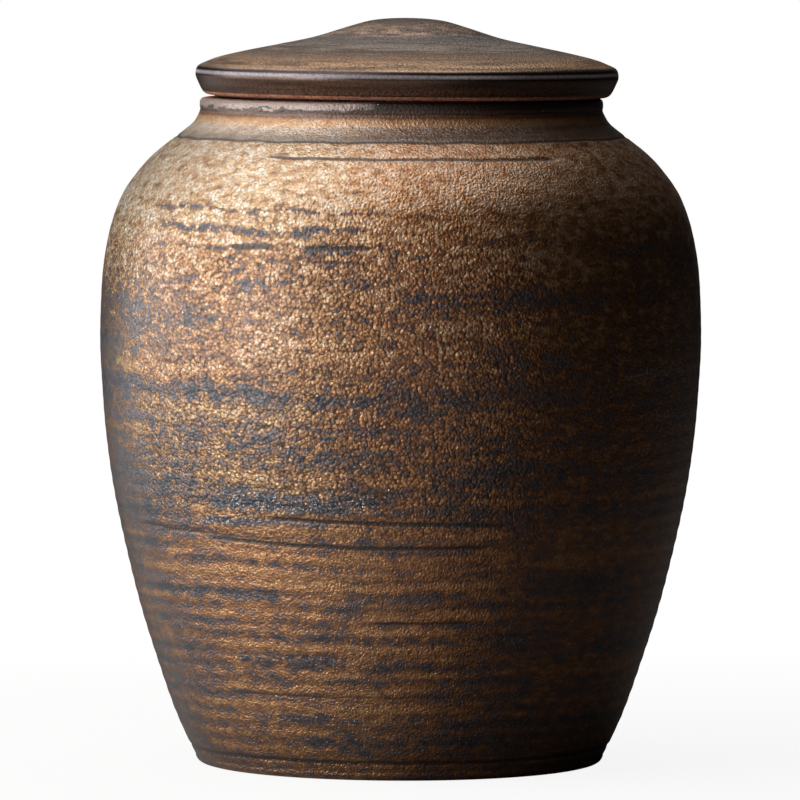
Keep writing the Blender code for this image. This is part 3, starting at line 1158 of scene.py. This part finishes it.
@dataclass
class JarBody(TurnedPiece):
    """The thrown jar: belly, shoulder, collar, rim, inside and foot ring.

    Sizes are metres, as in the frame. What says how the surface looks is in millimetres and
    degrees: a window says where it starts, over how much it rises, where it ends and over
    how much it fell by then, and a curve gives values by height or by angle.
    """

    height: float = 0.1606
    belly_radius: float = 0.0726
    neck_radius: float = 0.0487
    neck_length: float = 0.0034
    foot_radius: float = 0.0494
    foot_rounding: float = 0.0020
    belly_height_share: float = 0.63
    wall: float = 0.0052
    floor_thickness: float = 0.0068
    floor_fillet: float = 0.0070
    rim_rounding: float = 0.0012
    foot_ring_width: float = 0.0075
    foot_recess_depth: float = 0.0016
    curve_step: float = 0.0001
    outer_spacing: float = 0.00038
    inner_spacing: float = 0.0028
    line_groove: float = 0.00022
    throwing_pitch: float = 3.6
    throwing_depth: float = 0.00005
    throwing_drift: float = 0.9
    film_strength: float = 0.9
    gold_strength: float = 1.2
    slate_patch_strength: float = 0.40
    ring_side_strength: float = 0.65
    run_back_gain: float = 0.3
    bitten_strength: float = 0.6
    rust_strengths: Point = (0.6, 0.5)
    worn_right_strength: float = 0.8
    slate_patches: Patches = (3, 9.0, 14)
    ring_patches: Patches = (17, 6.0, 24)
    bitten_patches: Patches = (9, 9.0, 9)
    throwing_waves: tuple[int, int] = (5, 7)
    slate_curve: Table = (
        (0, 0.22), (20, 0.18), (55, 0.10), (75, 0.33), (100, 0.10), (112, -0.15), (125, -0.8), (140, -1.4),
    )
    left_slate_and_sheen_curve: Table = ((55, 0.8), (70, 0.6), (114, 0.4), (120, 0))
    left_slate_and_sheen_window: Window = (-110, 20, -35, 30)
    ring_relief_curve: Table = ((5, 0), (12, 1), (60, 1), (80, 0.4), (140, 0.2))
    ring_gold_curve: Table = ((5, 0.5), (12, 1), (58, 1), (66, 0))
    ring_gold_window: Window = (-110, 20, -38, 16)
    run_height_curve: Table = ((118, 0.9), (126, 1.4))
    run_angle_curve: Table = ((-20, 1.0), (0, 0.7))
    # The right window's tint is painted shade on the side away from the light.
    shade_tint_right_window: Window = (-28, 34, 130, 40)
    rust_middle_window: Window = (-66, 14, 130, 40)
    rust_height_window: Window = (88, 10, 133, 8)
    rust_low_curve: Table = ((58, 1), (70, 0))
    worn_height_curve: Table = ((112, 1), (120, 0))
    run_back_curve: Table = ((140, 0), (180, 1))
    whole_rim_window: Window = (-8, 0.1, 88, 0.1)
    worn_left_window: Window = (-130, 20, -52, 14)
    worn_right_window: Window = (12, 22, 150, 30)
    pale_rim_highlight_window: Window = (-150, 20, -11, 6)
    flank_shares: Table = (
        (0.00, 0.000), (0.04, 0.088), (0.11, 0.219), (0.21, 0.369), (0.35, 0.560),
        (0.50, 0.723), (0.65, 0.858), (0.79, 0.941), (0.90, 0.978),
    )
    shoulder_shares: Table = (
        (0.00, 1.000), (0.18, 0.993), (0.34, 0.968), (0.48, 0.910), (0.58, 0.840), (0.67, 0.742),
        (0.78, 0.546), (0.835, 0.411), (0.885, 0.262), (0.945, 0.083), (0.965, 0.043), (1.00, 0.000),
    )

    def outer_side(self) -> list[Point]:
        """Give the outer side from the neck down to the foot, in fine steps.

        Returns:
            Points as (radius, height) pairs.
        """
        belly_height = self.height * self.belly_height_share
        flank = belly_height - self.foot_rounding
        shoulder = self.height - self.neck_length - belly_height
        below = self.belly_radius - self.foot_radius
        above = self.belly_radius - self.neck_radius
        table = [
            (self.foot_rounding + flank * up, self.foot_radius + below * out) for up, out in self.flank_shares
        ]
        table += [
            (belly_height + shoulder * up, self.neck_radius + above * out) for up, out in self.shoulder_shares
        ]
        heights = np.arange(table[-1][0], self.foot_rounding, -self.curve_step)
        side = [(read_curve(table, height), height) for height in heights]
        return side + [(self.foot_radius, self.foot_rounding)]

    def inner_side(self) -> list[Point]:
        """Give the inner side from the middle of the floor up to the root of the neck.

        Returns:
            Points as (radius, height) pairs.
        """
        bore = self.neck_radius - self.wall
        outer = np.array(self.outer_side())[::-1]
        along = np.gradient(outer, axis=0)
        along /= np.hypot(along[:, 0], along[:, 1])[:, None]
        wall = outer + self.wall * np.stack((-along[:, 1], along[:, 0]), axis=1)
        floor_top = self.foot_recess_depth + self.floor_thickness
        fillet_top = floor_top + self.floor_fillet
        kept = wall[(wall[:, 1] > fillet_top) & (wall[:, 0] > bore)]
        fillet = arc((float(kept[0][0]) - self.floor_fillet, fillet_top), self.floor_fillet, -90, 0)
        neck_root = self.height - self.neck_length
        climb = [(float(radius), float(height)) for radius, height in kept if height < neck_root]
        return [(0.0, floor_top)] + fillet + climb + [(bore, neck_root)]

    def outline(self) -> list[Stretch]:
        """Give the outline from the middle of the floor, over the rim, to the middle of the base.

        Returns:
            The stretches in order.
        """
        bore = self.neck_radius - self.wall
        top = self.height - self.rim_rounding
        inner_rim = arc((bore + self.rim_rounding, top), self.rim_rounding, 180, 90)
        outer_rim = arc((self.neck_radius - self.rim_rounding, top), self.rim_rounding, 90, 0)
        flat = self.foot_radius - self.foot_rounding
        foot = arc((flat, self.foot_rounding), self.foot_rounding, 0, -90)
        recess = (flat - self.foot_ring_width, 0.0)
        chamfer = (recess[0] - self.foot_recess_depth, self.foot_recess_depth)
        fine = self.outer_spacing
        inside = self.inner_side()
        return [
            Stretch(inside, Zone.INNER_GLAZE, self.inner_spacing),
            Stretch([inside[-1], inner_rim[0]], Zone.INNER_GLAZE, fine * 2),
            Stretch(inner_rim, Zone.INNER_GLAZE, fine),
            Stretch([inner_rim[-1], outer_rim[0]], Zone.BARE_CLAY, fine * 2),
            Stretch(outer_rim + self.outer_side(), Zone.OUTER_GLAZE, fine),
            Stretch(foot, Zone.OUTER_GLAZE, fine),
            Stretch([foot[-1], recess], Zone.BARE_CLAY, fine * 3),
            Stretch([recess, chamfer], Zone.BARE_CLAY, fine * 2),
            Stretch([chamfer, (0.0, self.foot_recess_depth)], Zone.BARE_CLAY, fine * 8),
        ]

    def throwing_rings(self, surface: Turned) -> np.ndarray:
        """Give the spiral of ridges that the potter's fingers left.

        Args:
            surface: The jar's vertices.

        Returns:
            Values from -1, in a groove, to 1, on a ridge.
        """
        climb = surface.heights - self.throwing_pitch * surface.angles / FULL_TURN
        drift = self.throwing_drift * wander(surface.angles, *self.throwing_waves)
        return np.cos(math.tau * climb / self.throwing_pitch + drift)

    def sum_marks(self, surface: Turned) -> dict[MarkKind, np.ndarray]:
        """Lay all the marks over each other.

        Args:
            surface: The jar's vertices.

        Returns:
            For each kind of mark, its greatest strength at each vertex.
        """
        totals = {kind: np.zeros(len(surface.heights)) for kind in MarkKind}
        for mark in placed_marks() + BackRule().marks():
            totals[mark.kind] = np.maximum(totals[mark.kind], mark.weight(surface))
        return {kind: total * surface.outside for kind, total in totals.items()}

    def slate_level(self, surface: Turned) -> np.ndarray:
        """Give how much slate shows before any marks: more low down, more on the lit left flank, where part
        of the grey is painted sheen, and none on the shoulder.

        Args:
            surface: The jar's vertices.

        Returns:
            Values from about -1, all gold, to 1, all slate.
        """
        left = between(surface.angles, self.left_slate_and_sheen_window)
        level = follow(surface.heights, self.slate_curve)
        # Painted sheen in part: the lit left flank gets more grey, which stands in for the sheen of the light
        # there.
        level += follow(surface.heights, self.left_slate_and_sheen_curve) * left
        uneven = patches(surface.heights, surface.angles, *self.slate_patches)
        return level + self.slate_patch_strength * uneven

    def sculpt(self, surface: Turned) -> np.ndarray:
        """Raise the throwing rings and sink the lines that the tool cut.

        Args:
            surface: The jar's vertices.

        Returns:
            The vertices' new places.
        """
        lines = self.sum_marks(surface)[MarkKind.LINE]
        rings = self.throwing_rings(surface) * follow(surface.heights, self.ring_relief_curve)
        move = (rings - 1) * self.throwing_depth * surface.outside - self.line_groove * ease(lines)
        return surface.places + surface.outward * move[:, None]

    def finishes(self) -> tuple[Finish, ...]:
        """Give the jar its glaze, its liner and its bare clay."""
        return (BronzeGlaze(), DarkLinerGlaze(), BareStoneware())

    def readings(self, surface: Turned) -> dict[str, np.ndarray]:
        """Work out the marks that the glaze reads.

        Args:
            surface: The jar's vertices.

        Returns:
            The values at the vertices, by the name that the glaze reads.
        """
        angles = surface.angles
        heights = surface.heights
        marks = self.sum_marks(surface)
        ridge = self.throwing_rings(surface) * follow(heights, self.ring_gold_curve)
        broken = 0.5 + 0.5 * patches(heights, angles, *self.ring_patches)
        side = 1 - self.ring_side_strength * (1 - between(angles, self.ring_gold_window))
        slate = self.slate_level(surface) - ridge * side * broken
        slate += marks[MarkKind.FILM] * self.film_strength - marks[MarkKind.GOLD] * self.gold_strength
        back = ease(follow(angles, self.run_back_curve))
        gain = follow(angles, self.run_angle_curve) + self.run_back_gain * back
        bitten = ease(patches(heights * 0, angles, *self.bitten_patches) * 3)
        # The pale rim on the left is partly painted highlight, since it lies on the lit side; the bitten
        # patches round the rim are the glaze's own.
        lilac = between(angles, self.pale_rim_highlight_window) + self.bitten_strength * bitten
        low_rust, middle_rust = self.rust_strengths
        low = low_rust * ease(follow(heights, self.rust_low_curve))
        middle = between(heights, self.rust_height_window) * between(angles, self.rust_middle_window)
        # The right-side part of this tint is painted shade; the low and middle parts are the glaze's own
        # rust.
        rust = np.maximum(np.maximum(between(angles, self.shade_tint_right_window), low), middle_rust * middle)
        flank = between(angles, self.worn_left_window) * ease(follow(heights, self.worn_height_curve))
        right = self.worn_right_strength * between(angles, self.worn_right_window)
        return {
            "slate": slate,
            "run": marks[MarkKind.SLATE] * gain * follow(heights, self.run_height_curve),
            "line": marks[MarkKind.LINE],
            "frost": marks[MarkKind.FROST_GLINTS],
            "rust": rust,
            "worn": np.maximum(flank, right),
            "lilac": np.clip(lilac * (1 - between(angles, self.whole_rim_window)), 0, 1),
        }


@dataclass
class Lid(TurnedPiece):
    """The domed lid: crown, rounded brim, seal recess, plug and hollow. Sizes are metres."""

    seat: float = 0.1611
    radius: float = 0.0510
    brim_height: float = 0.0075
    dome_rise: float = 0.0112
    crown_thickness: float = 0.0090
    hollow_spring: float = 0.0018
    recess_radius: float = 0.0477
    recess_height: float = 0.0020
    groove_radius: float = 0.0398
    plug_radius: float = 0.0408
    plug_wall: float = 0.0045
    plug_depth: float = 0.0100
    plug_rounding: float = 0.0014
    groove_bottom: float = -0.0005
    tilt_degrees: float = 0.35
    dome_spacing: float = 0.0004
    clay_edge_share: float = 0.73
    crown_patches: Patches = (23, 1.2, 30)
    brim_patches: Patches = (29, 0.7, 20)
    dome_shares: Table = (
        (0.00, 1.000), (0.09, 0.985), (0.18, 0.933), (0.29, 0.790), (0.44, 0.577),
        (0.60, 0.420), (0.78, 0.252), (0.90, 0.117), (0.965, 0.0),
    )
    brim_shares: Table = (
        (0.45, 1.00), (0.76, 0.93), (0.94, 0.83), (1.00, 0.70), (0.98, 0.57),
        (0.79, 0.37), (0.58, 0.18), (0.38, 0.06), (0.14, 0.00), (0.00, 0.00),
    )
    hollow_shares: Table = (
        (0.00, 1.00), (0.36, 0.93), (0.68, 0.70), (0.88, 0.42), (0.97, 0.20), (1.00, 0.00),
    )

    def outline(self) -> list[Stretch]:
        """Give the outline from the top of the crown to the middle of the hollow under it.

        Returns:
            The stretches in order.
        """
        lip = self.radius - self.recess_radius
        brim = [(self.recess_radius + lip * out, self.brim_height * up) for out, up in self.brim_shares]
        brim_share = brim[0][0] / self.radius
        dome_table = self.dome_shares[:-1] + ((brim_share, 0.0),)
        dome = [
            (self.radius * at, self.brim_height + self.dome_rise * read_curve(dome_table, at))
            for at in np.linspace(0, brim_share, CURVE_STEPS)
        ]
        outs = [(float(index), point[0]) for index, point in enumerate(brim)]
        ups = [(float(index), point[1]) for index, point in enumerate(brim)]
        places = np.linspace(0, len(brim) - 1, CURVE_STEPS)
        edge = [(read_curve(outs, at), read_curve(ups, at)) for at in places]
        bore = self.plug_radius - self.plug_wall
        tip = self.plug_rounding - self.plug_depth
        outer_tip = arc((self.plug_radius - self.plug_rounding, tip), self.plug_rounding, 0, -90)
        inner_tip = arc((bore + self.plug_rounding, tip), self.plug_rounding, -90, -180)
        hollow_rise = self.brim_height + self.dome_rise - self.crown_thickness - self.hollow_spring
        hollow = [
            (bore * at, self.hollow_spring + hollow_rise * read_curve(self.hollow_shares, at))
            for at in np.linspace(1, 0, CURVE_STEPS)
        ]
        neck = [
            (self.recess_radius, self.recess_height),
            (self.groove_radius, self.recess_height),
            (self.groove_radius, self.groove_bottom),
            (self.plug_radius, self.groove_bottom - (self.plug_radius - self.groove_radius)),
            outer_tip[0],
        ]
        fine = self.dome_spacing
        clay = Zone.BARE_CLAY
        lower = round(CURVE_STEPS * self.clay_edge_share)
        stretches = [
            Stretch(dome, Zone.OUTER_GLAZE, fine),
            Stretch(edge[:lower], Zone.OUTER_GLAZE, fine / 2),
            Stretch(edge[lower - 1:], clay, fine / 2),
            Stretch([edge[-1], neck[0]], clay, fine),
        ]
        stretches += [Stretch([start, end], clay, fine * 2) for start, end in zip(neck, neck[1:])]
        stretches += [
            Stretch(outer_tip, clay, fine),
            Stretch([outer_tip[-1], inner_tip[0]], clay, fine * 2),
            Stretch(inner_tip, clay, fine),
            Stretch([inner_tip[-1], hollow[0]], clay, fine * 3),
            Stretch(hollow, clay, fine * 4),
        ]
        for stretch in stretches:
            stretch.points[:] = [(out, self.seat + up) for out, up in stretch.points]
        return stretches

    def sculpt(self, surface: Turned) -> np.ndarray:
        """Lower the lid a little to the right, as it lies on its ring.

        Args:
            surface: The lid's vertices.

        Returns:
            The vertices' new places.
        """
        pivot = np.array((self.axis_x, 0.0, self.seat))
        turn = math.radians(self.tilt_degrees)
        from_pivot = surface.places - pivot
        tilted = from_pivot.copy()
        tilted[:, 0] = math.cos(turn) * from_pivot[:, 0] + math.sin(turn) * from_pivot[:, 2]
        tilted[:, 2] = math.cos(turn) * from_pivot[:, 2] - math.sin(turn) * from_pivot[:, 0]
        return tilted + pivot

    def finishes(self) -> tuple[Finish, ...]:
        """Give the lid its glaze and, on the underside, its bare clay."""
        return (ChestnutGlaze(axis_x=self.axis_x, radius=self.radius), DarkLinerGlaze(), BareStoneware())

    def readings(self, surface: Turned) -> dict[str, np.ndarray]:
        """Smear the glaze's bands along its rings, and measure up the brim.

        Args:
            surface: The lid's vertices.

        Returns:
            The values at the vertices, by the name that the glaze reads.
        """
        radii = np.hypot(surface.places[:, 0] - self.axis_x, surface.places[:, 1]) / MILLIMETRE
        above = surface.heights - self.seat / MILLIMETRE
        on_top = above > self.brim_height / MILLIMETRE
        round_crown = patches(radii, surface.angles, *self.crown_patches)
        round_brim = patches(above, surface.angles, *self.brim_patches)
        return {"smear": np.where(on_top, round_crown, round_brim), "brim": above}


@dataclass
class SealRing(TurnedPiece):
    """The soft ring round the plug, with a bead that presses on the rim. Sizes are metres."""

    bottom: float = 0.1609
    thickness: float = 0.0019
    inner_radius: float = 0.0401
    outer_radius: float = 0.0474
    bead: float = 0.0004
    bead_radius: float = 0.0461
    spacing: float = 0.0002

    def outline(self) -> list[Stretch]:
        """Give the closed outline, from its upper inner corner, outwards and down.

        Returns:
            The stretches in order.
        """
        lift = self.bottom + self.bead
        top = self.bottom + self.thickness
        lip = arc((self.outer_radius - self.bead, lift + self.bead), self.bead, 0, -90)
        bead = arc((self.bead_radius, lift), self.bead, 0, -180)
        start = (self.inner_radius, top)
        corner = (self.outer_radius, top)
        inner = (self.inner_radius, lift)
        lengths = (
            ([start, corner], 4),
            ([corner, lip[0]], 1),
            (lip, 1),
            ([lip[-1], bead[0]], 1),
            (bead, 0.5),
            ([bead[-1], inner], 4),
            ([inner, start], 2),
        )
        return [Stretch(points, Zone.OUTER_GLAZE, self.spacing * coarser) for points, coarser in lengths]

    def finishes(self) -> tuple[Finish, ...]:
        """Give the ring its rubber."""
        return (SiliconeRubber(),)


@dataclass(frozen=True)
class Softbox:
    """One soft lamp, placed by where it stands round the caddy. Lengths are metres.

    The azimuth is degrees from the camera's side, positive to the viewer's right, and the
    elevation is degrees above the caddy's middle.
    """

    name: str
    azimuth: float
    elevation: float
    width: float
    tall: float
    watts: float
    distance: float = 1.2

    def place(self, aim: Vector) -> None:
        """Hang the lamp, turned towards the caddy.

        Args:
            aim: The point that it lights.
        """
        around = math.radians(self.azimuth)
        up = math.radians(self.elevation)
        away = Vector((math.sin(around) * math.cos(up), -math.cos(around) * math.cos(up), math.sin(up)))
        lamp = bpy.data.lights.new(f"{self.name}_softbox", "AREA")
        lamp.shape = "RECTANGLE"
        lamp.size = self.width
        lamp.size_y = self.tall
        lamp.energy = self.watts
        holder = bpy.data.objects.new(lamp.name, lamp)
        bpy.context.scene.collection.objects.link(holder)
        holder.location = aim + away * self.distance
        holder.rotation_euler = (-away).to_track_quat("-Z", "Y").to_euler()
        holder.visible_camera = False
        log.info("lamp %s: %.1f W", self.name, self.watts)


@dataclass(frozen=True)
class Studio:
    """The plain studio round the caddy: camera, soft lamps, world and paper floor."""

    camera_place: Vector = Vector((0.0, -2.0962, 0.2140))
    camera_aim: Vector = Vector((0.0, 0.0, 0.0875))
    camera_reach: float = 20.0
    lens: float = 391.0
    sensor: float = 36.0
    roll_degrees: float = 0.19
    shift_share: float = -0.0006
    floor_radius: float = 3.0
    floor_corners: int = 96
    mirrored_window: Window = (0.96, 0.985, 0.007, 0.1)
    dim_strength: float = 0.006
    lamp_aim: Vector = Vector((0.0, 0.0, 0.09))
    softboxes: tuple[Softbox, ...] = (
        Softbox("key", -55, 17, 0.4, 0.45, 2.4),
        Softbox("front_left", -45, 40, 0.7, 0.7, 2.1),
        Softbox("upper_left", -65, 56, 1.2, 0.5, 3.7),
        Softbox("left", -80, 30, 0.6, 0.6, 2.5),
        Softbox("side", -107, 6, 0.4, 0.5, 3.4),
        Softbox("rear_side", -125, 45, 0.7, 0.7, 2.0),
        Softbox("high_left", -90, 68, 0.7, 0.7, 1.6),
        Softbox("low_strip", -75, 0, 1.2, 0.2, 5.4),
        Softbox("front_strip", -50, 0, 0.6, 0.2, 2.9),
        Softbox("front", 0, 10, 0.7, 0.7, 0.8),
        Softbox("overhead", 0, 88, 0.8, 0.8, 3.2),
        Softbox("high_back", 180, 65, 0.8, 0.8, 1.8),
        Softbox("back", -170, 42, 0.8, 0.9, 0.6),
    )

    def set_camera(self) -> None:
        """Stand the camera where the photograph was taken from."""
        data = bpy.data.cameras.new("camera")
        data.lens = self.lens
        data.sensor_width = self.sensor
        data.shift_x = self.shift_share
        data.clip_end = self.camera_reach
        camera = bpy.data.objects.new("camera", data)
        bpy.context.scene.collection.objects.link(camera)
        aim = (self.camera_aim - self.camera_place).to_track_quat("-Z", "Y")
        roll = Quaternion((0, 0, 1), math.radians(self.roll_degrees))
        camera.location = self.camera_place
        camera.rotation_euler = (aim @ roll).to_euler()
        bpy.context.scene.camera = camera

    def set_world(self) -> None:
        """Give a white backdrop to the camera, and a dim room to all that lights the caddy."""
        world = bpy.data.worlds.new("studio_world")
        bpy.context.scene.world = world
        world.use_nodes = True
        tree = world.node_tree
        add = partial(add_node, tree)
        behind = add(Kind.AXES, add(Kind.PLACE, output="Generated"), output="Y")
        sweep = add(Kind.EASED, behind, *self.mirrored_window)
        glossy = add(Kind.RAY, output="Is Glossy Ray")
        seen = add(Kind.LARGER, add(Kind.RAY), add(Kind.RAY, output="Is Transmission Ray"))
        dim = add(Kind.TIMES, add(Kind.MINUS, 1.0, glossy), self.dim_strength)
        lighting = add(Kind.TIMES_PLUS, glossy, sweep, dim)
        backdrop = tree.nodes["Background"]
        feed_socket(tree, backdrop.inputs["Strength"], add(Kind.LARGER, lighting, seen))
        feed_socket(tree, backdrop.inputs["Color"], WHITE)

    def lay_floor(self) -> None:
        """Lay a round sheet of white paper under the caddy."""
        bpy.ops.object.select_all(action="DESELECT")
        bpy.ops.mesh.primitive_circle_add(
            vertices=self.floor_corners, radius=self.floor_radius, fill_type="NGON",
        )
        floor = bpy.context.object
        floor.name = "paper_floor"
        floor.data.materials.append(PaperFloor().material())

    def build(self) -> None:
        """Set up the whole studio."""
        bpy.context.scene.view_settings.view_transform = "Standard"
        self.set_camera()
        self.set_world()
        self.lay_floor()
        for softbox in self.softboxes:
            softbox.place(self.lamp_aim)


def main() -> None:
    """Build the studio and the caddy's three pieces."""
    logging.basicConfig(level=logging.INFO, format="%(name)s: %(message)s")
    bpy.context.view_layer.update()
    lid_low, lid_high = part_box("lid")
    lid_axis = (lid_low.x + lid_high.x) / 2
    Studio().build()
    JarBody("glazed_jar", "jar_body", "jar", "bronze_glaze", columns=160).build()
    SealRing("silicone_seal_ring", "lid_seal_ring", "seal", "silicone", axis_x=lid_axis, columns=128).build()
    Lid("glazed_lid", "lid", "lid", "brown_glaze", axis_x=lid_axis, columns=192).build()


if __name__ == "__main__":
    main()
